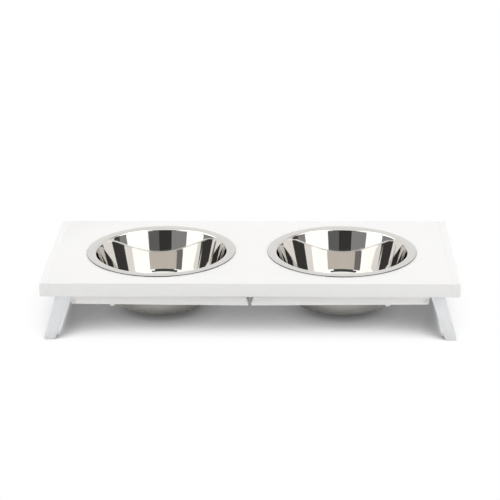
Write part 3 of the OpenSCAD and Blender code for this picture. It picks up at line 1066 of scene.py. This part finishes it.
def pivot_washer(sizes):
    """The washer between a long leg and its hinge ear."""
    outer = (WASHER_HIGH.x - WASHER_LOW.x) / 2
    inner = sizes.shank_radius + sizes.bore_fit
    span = WASHER_HIGH.y - WASHER_LOW.y
    edge = span / 4
    bm = bmesh.new()
    line = Section(bm, inner, 0)
    line.run(outer - edge, 0)
    line.bend(outer - edge, edge, math.pi / 2, steps=4)
    line.run(outer, span - edge)
    line.bend(outer - edge, span - edge, math.pi / 2, steps=4)
    line.run(inner, span)
    line.close()
    lathe(bm, sizes.turn_steps)
    point_rearwards(bm, (PIVOT.x, WASHER_LOW.y, PIVOT.z))
    return bm


def pivot_nut(sizes):
    """The lock nut, chamfered, with its round collar."""
    span = NUT_HIGH.y - NUT_LOW.y
    flats = NUT_HIGH.z - NUT_LOW.z
    corner = flats / math.sqrt(3)
    shoulder = span - sizes.collar_height
    bore = sizes.shank_radius + sizes.bore_fit
    barrel = bmesh.new()
    line = Section(barrel, bore + sizes.lead, 0)
    line.run(flats / 2, 0)
    line.run(corner + sizes.lead, sizes.lead)
    line.run(corner + sizes.lead, shoulder - sizes.lead)
    line.run(flats / 2, shoulder)
    line.run(sizes.collar_radius, shoulder)
    line.run(sizes.collar_radius, span - sizes.lead)
    line.bend(sizes.collar_radius - sizes.lead, span - sizes.lead, math.pi / 2, steps=4)
    line.run(bore + sizes.lead, span)
    line.run(bore, span - sizes.lead)
    line.run(bore, sizes.lead)
    line.close()
    lathe(barrel, sizes.turn_steps)
    bm = combine(barrel, hex_bar(flats, 3 * span), "INTERSECT")
    point_rearwards(bm, (PIVOT.x, NUT_LOW.y, PIVOT.z))
    return bm


class FEEDER_OT_pivots(bpy.types.Operator):
    """Makes the bolts, washers and lock nuts of the pivots"""

    bl_idname = "feeder.pivots"
    bl_label = "Pivots"

    def execute(self, context):
        sizes = context.scene.feeder_fasteners
        make_at_corners(pivot_bolt(sizes), "pivot_bolt", "zinc_steel")
        make_at_corners(pivot_washer(sizes), "pivot_washer", "zinc_steel")
        make_at_corners(pivot_nut(sizes), "pivot_nut", "zinc_steel")
        return {"FINISHED"}


def leg_screws(sizes):
    """The three screws of a mounting plate, with domed heads and cross recesses."""
    head, rise = sizes.screw_head_radius, sizes.screw_head
    span = SCREW_HIGH.z - SCREW_LOW.z
    dome = rise - sizes.screw_skirt
    dome_radius = (head * head + dome * dome) / (2 * dome)
    dome_turn = math.asin(head / dome_radius)
    bm = bmesh.new()
    line = Section(bm, 0, 0)
    line.bend(0, dome_radius, dome_turn, steps=8)
    line.run(head, rise)
    line.run(sizes.shank_radius, rise)
    line.run(sizes.shank_radius, span - 2 * sizes.shank_radius)
    line.run(0, span)
    lathe(bm, sizes.turn_steps)
    reach, half = sizes.cross_length / 2, sizes.cross_width / 2
    for x, y in ((reach, half), (half, reach)):
        slot = bmesh.new()
        add_box(slot, (-x, -y, -OVERLAP), (x, y, sizes.cross_depth))
        bm = combine(bm, slot, "DIFFERENCE")
    inner, outer = SCREW_LOW.x + head, SCREW_HIGH.x - head
    front, back = SCREW_LOW.y + head, SCREW_HIGH.y - head
    bmesh.ops.translate(bm, vec=(outer, back, SCREW_LOW.z), verts=bm.verts[:])
    first = bm.verts[:] + bm.edges[:] + bm.faces[:]
    for shift in ((inner - outer, 0, 0), (0, front - back, 0)):
        made = bmesh.ops.duplicate(bm, geom=first)["geom"]
        verts = [part for part in made if isinstance(part, bmesh.types.BMVert)]
        bmesh.ops.translate(bm, vec=shift, verts=verts)
    return bm


class FEEDER_OT_leg_screws(bpy.types.Operator):
    """Makes the screws of the mounting plates"""

    bl_idname = "feeder.leg_screws"
    bl_label = "Leg screws"

    def execute(self, context):
        make_at_corners(leg_screws(context.scene.feeder_fasteners), "leg_screws", "zinc_steel")
        return {"FINISHED"}


class FEEDER_OT_dowels(bpy.types.Operator):
    """Gives the dowels, which stay as they are in the frame, their wood"""

    bl_idname = "feeder.dowels"
    bl_label = "Dowels"

    def execute(self, context):
        for side in SIDES:
            for name in ("end_board_dowels", "rail_dowels"):
                node = frame["nodes"][f"{side}_{name}"]
                node.data.materials.clear()
                node.data.materials.append(finish_of("beech"))
        return {"FINISHED"}


def stage_object(bm, name, material):
    """Makes a part of the stage, which isn't part of the object."""
    mesh = bpy.data.meshes.new(name)
    bm.to_mesh(mesh)
    bm.free()
    mesh.materials.append(material)
    stage = bpy.data.objects.new(name, mesh)
    bpy.context.scene.collection.objects.link(stage)
    return stage


def hide_from(item, *rays):
    """Hides a part of the stage from some kinds of rays."""
    for ray in rays:
        setattr(item, f"visible_{ray}", False)


def glow(name, strength, tint=WHITE):
    """A material that gives off even light."""
    material = bpy.data.materials.new(name)
    material.use_nodes = True
    tree = material.node_tree
    tree.nodes.remove(tree.nodes["Principled BSDF"])
    light = Wire(tree).node("ShaderNodeEmission", {}, {"Color": (*tint, 1), "Strength": strength})
    light.fill(tree.nodes["Material Output"], {"Surface": light})
    return material


def add_cards(stage, cards, distance, *unseen_by):
    """Adds upright curved cards at a distance, hidden from the camera and from these kinds of rays."""
    for name, strength, turn, rise in cards:
        bm = bmesh.new()
        begin, finish = (math.radians(part) for part in turn)
        foot = Vector((distance * math.sin(begin), -distance * math.cos(begin), 0))
        heights = [Vector((0, 0, distance * math.tan(math.radians(part)))) for part in rise]
        verts = [bm.verts.new(foot + height) for height in heights]
        edge = bm.edges.new(verts)
        bmesh.ops.spin(
            bm, geom=[*verts, edge], cent=(0, 0, 0), axis=(0, 0, 1),
            angle=finish - begin, steps=CARD_STEPS,
        )
        tint = getattr(stage, TINTS[name]) if name in TINTS else WHITE
        card = stage_object(bm, name, glow(name, getattr(stage, strength), tint))
        hide_from(card, "camera", *unseen_by)


def add_floor(stage):
    """Adds the white floor. A camera sees through it, darkened where the stand keeps the light away."""
    bm = bmesh.new()
    verts = bmesh.ops.create_grid(bm, x_segments=1, y_segments=1, size=stage.floor_reach)["verts"]
    bmesh.ops.translate(bm, vec=(0, 0, -stage.floor_drop), verts=verts)
    material = bpy.data.materials.new("floor_white")
    material.use_nodes = True
    tree = material.node_tree
    tree.nodes.remove(tree.nodes["Principled BSDF"])
    floor = Wire(tree)
    lean = (math.sin(stage.shadow_turn), -math.sin(stage.shadow_lean), math.cos(stage.shadow_lean))
    towards = floor.node("ShaderNodeCombineXYZ", {}, dict(zip("XYZ", lean)))
    openness = floor.node(
        "ShaderNodeAmbientOcclusion", {"samples": FLOOR_SAMPLES},
        {"Distance": stage.shadow_reach, "Normal": towards}, "AO",
    )
    nearness = floor.node(
        "ShaderNodeAmbientOcclusion", {"samples": FLOOR_SAMPLES}, {"Distance": stage.contact_reach}, "AO",
    )
    shade = openness.greys(SHADOW_TONES) * nearness.greys(CONTACT_TONES)
    from_below = floor.node("ShaderNodeNewGeometry", {}, {}, "Backfacing")
    tint = floor.math("MAXIMUM", shade, from_below)
    seen = floor.node("ShaderNodeBsdfTransparent", {}, {"Color": tint})
    lit = floor.node("ShaderNodeBsdfDiffuse", {}, {"Color": (*stage.floor_white, 1)})
    by_camera = floor.node("ShaderNodeLightPath", {}, {}, "Is Camera Ray")
    surface = floor.node("ShaderNodeMixShader", {}, {0: by_camera, 1: lit, 2: seen})
    surface.fill(tree.nodes["Material Output"], {"Surface": surface})
    stage_object(bm, "floor", material)


def add_flags(stage):
    """Adds the flags that keep side light from the floor between a front and a rear short leg."""
    for side, sign in SIDES.items():
        high = Vector((sign * PIVOT.x, CAST_LOW.y, BOARD_LOW.z))
        low = Vector((sign * FOOT_LOW.x, CAST_LOW.y, 0)).lerp(high, stage.flag_rise)
        bm = bmesh.new()
        add_outline(bm, [low, low * REARWARDS, high * REARWARDS, high])
        flag = stage_object(bm, f"{side}_flag", glow(f"{side}_flag", 0))
        hide_from(flag, "camera", "diffuse", "glossy", "transmission")


def light_world():
    """Lights the stand evenly from all round with a white room."""
    world = bpy.data.worlds.new("white_room")
    bpy.context.scene.world = world
    world.use_nodes = True
    tree = world.node_tree
    Wire(tree).fill(tree.nodes["Background"], {"Color": (*WHITE, 1), "Strength": 1})


def add_camera(stage):
    """Adds the camera at the eye, turned by its pitch, yaw and roll."""
    forward = Vector((
        math.sin(stage.yaw) * math.cos(stage.pitch),
        math.cos(stage.yaw) * math.cos(stage.pitch),
        -math.sin(stage.pitch),
    ))
    right = Vector((math.cos(stage.yaw), -math.sin(stage.yaw), 0))
    right.rotate(Matrix.Rotation(stage.roll, 3, forward))
    up = right.cross(forward)
    data = bpy.data.cameras.new("camera")
    data.sensor_width = FILM_WIDTH
    data.lens = stage.lens
    camera = bpy.data.objects.new("camera", data)
    bpy.context.scene.collection.objects.link(camera)
    axes = Matrix((right, up, -forward)).transposed().to_4x4()
    camera.matrix_world = Matrix.Translation(stage.eye) @ axes
    bpy.context.scene.camera = camera


class FEEDER_OT_stage(bpy.types.Operator):
    """Makes the floor, the light and the camera"""

    bl_idname = "feeder.stage"
    bl_label = "Stage"

    def execute(self, context):
        stage = context.scene.feeder_stage
        context.scene.view_settings.view_transform = "Standard"
        add_floor(stage)
        add_flags(stage)
        light_world()
        add_cards(stage, CARDS, stage.card_distance)
        add_cards(stage, REFLECTORS, stage.card_distance, "diffuse")
        add_cards(stage, STRIPS, stage.strip_distance, "diffuse", "shadow")
        add_camera(stage)
        return {"FINISHED"}


SETTINGS = {
    "feeder_boards": BoardSettings,
    "feeder_bowls": BowlSettings,
    "feeder_short_legs": ShortLegSettings,
    "feeder_long_legs": LongLegSettings,
    "feeder_fasteners": FastenerSettings,
    "feeder_finishes": FinishSettings,
    "feeder_stage": StageSettings,
}
OPERATORS = (
    FEEDER_OT_boards,
    FEEDER_OT_bowls,
    FEEDER_OT_short_legs,
    FEEDER_OT_foot_pads,
    FEEDER_OT_long_legs,
    FEEDER_OT_long_leg_rubbers,
    FEEDER_OT_pivots,
    FEEDER_OT_leg_screws,
    FEEDER_OT_dowels,
    FEEDER_OT_stage,
)


class VIEW3D_PT_feeder(bpy.types.Panel):
    """Lists the stand's parts and their sizes"""

    bl_label = "Feeder Stand"
    bl_space_type = "VIEW_3D"
    bl_region_type = "UI"
    bl_category = "Feeder"

    def draw(self, context):
        for operator in OPERATORS:
            self.layout.operator(operator.bl_idname)
        for name, group in SETTINGS.items():
            box = self.layout.box()
            for prop in group.__annotations__:
                box.prop(getattr(context.scene, name), prop)


CLASSES = (*SETTINGS.values(), *OPERATORS, VIEW3D_PT_feeder)


def register():
    for cls in CLASSES:
        bpy.utils.register_class(cls)
    for name, group in SETTINGS.items():
        setattr(bpy.types.Scene, name, PointerProperty(type=group))


def unregister():
    for name in SETTINGS:
        delattr(bpy.types.Scene, name)
    for cls in reversed(CLASSES):
        bpy.utils.unregister_class(cls)


def main():
    """Builds every piece and the stage."""
    register()
    bpy.ops.feeder.boards()
    bpy.ops.feeder.bowls()
    bpy.ops.feeder.short_legs()
    bpy.ops.feeder.foot_pads()
    bpy.ops.feeder.long_legs()
    bpy.ops.feeder.long_leg_rubbers()
    bpy.ops.feeder.pivots()
    bpy.ops.feeder.leg_screws()
    bpy.ops.feeder.dowels()
    bpy.ops.feeder.stage()


if __name__ == "__main__":
    main()
